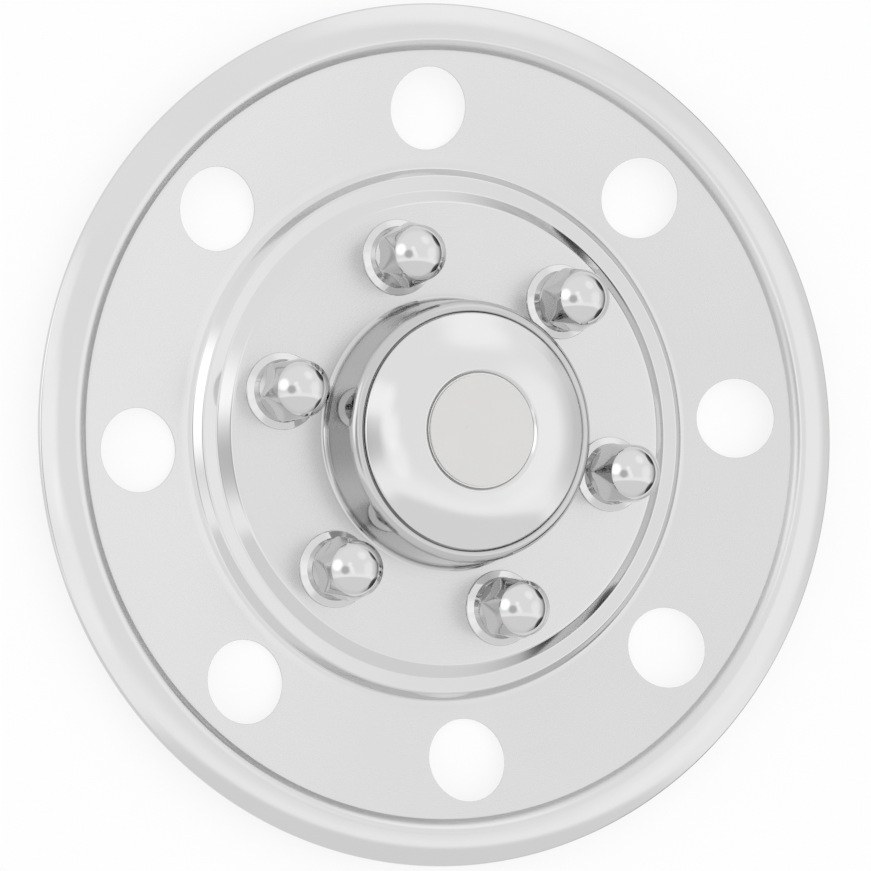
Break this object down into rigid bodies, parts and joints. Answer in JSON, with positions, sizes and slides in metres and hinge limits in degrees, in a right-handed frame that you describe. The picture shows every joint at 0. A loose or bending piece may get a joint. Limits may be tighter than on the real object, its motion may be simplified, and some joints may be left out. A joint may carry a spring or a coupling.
{
  "type": "hubcap",
  "caption": "Polished round wheel cover with a convex rim, hand holes, domed hexagon nut covers and a snap-in centre cap on a drawn hub tower.",
  "frame": {"origin": "on the wheel axis, in the plane of the back of the seat ring", "axes": "+Z along the wheel axis, out of the visible face; X and Y across the face"},
  "size_m": [0.423, 0.423, 0.0478],
  "materials": {
    "polished_stainless": "polished to a soft mirror",
    "chromed_steel": "bright chrome plate",
    "badge_disc": "plain glossy disc",
    "spring_steel": "dull spring steel"
  },
  "bodies": {
    "root": {"wheel_liner": "polished_stainless", "center_cap": "polished_stainless", "cap_badge": "badge_disc", "lug_nut_cover_1": "chromed_steel", "cover_retainer_1": "spring_steel", "lug_nut_cover_2": "chromed_steel", "cover_retainer_2": "spring_steel", "lug_nut_cover_3": "chromed_steel", "cover_retainer_3": "spring_steel", "lug_nut_cover_4": "chromed_steel", "cover_retainer_4": "spring_steel", "lug_nut_cover_5": "chromed_steel", "cover_retainer_5": "spring_steel", "lug_nut_cover_6": "chromed_steel", "cover_retainer_6": "spring_steel"}
  },
  "joints": []
}
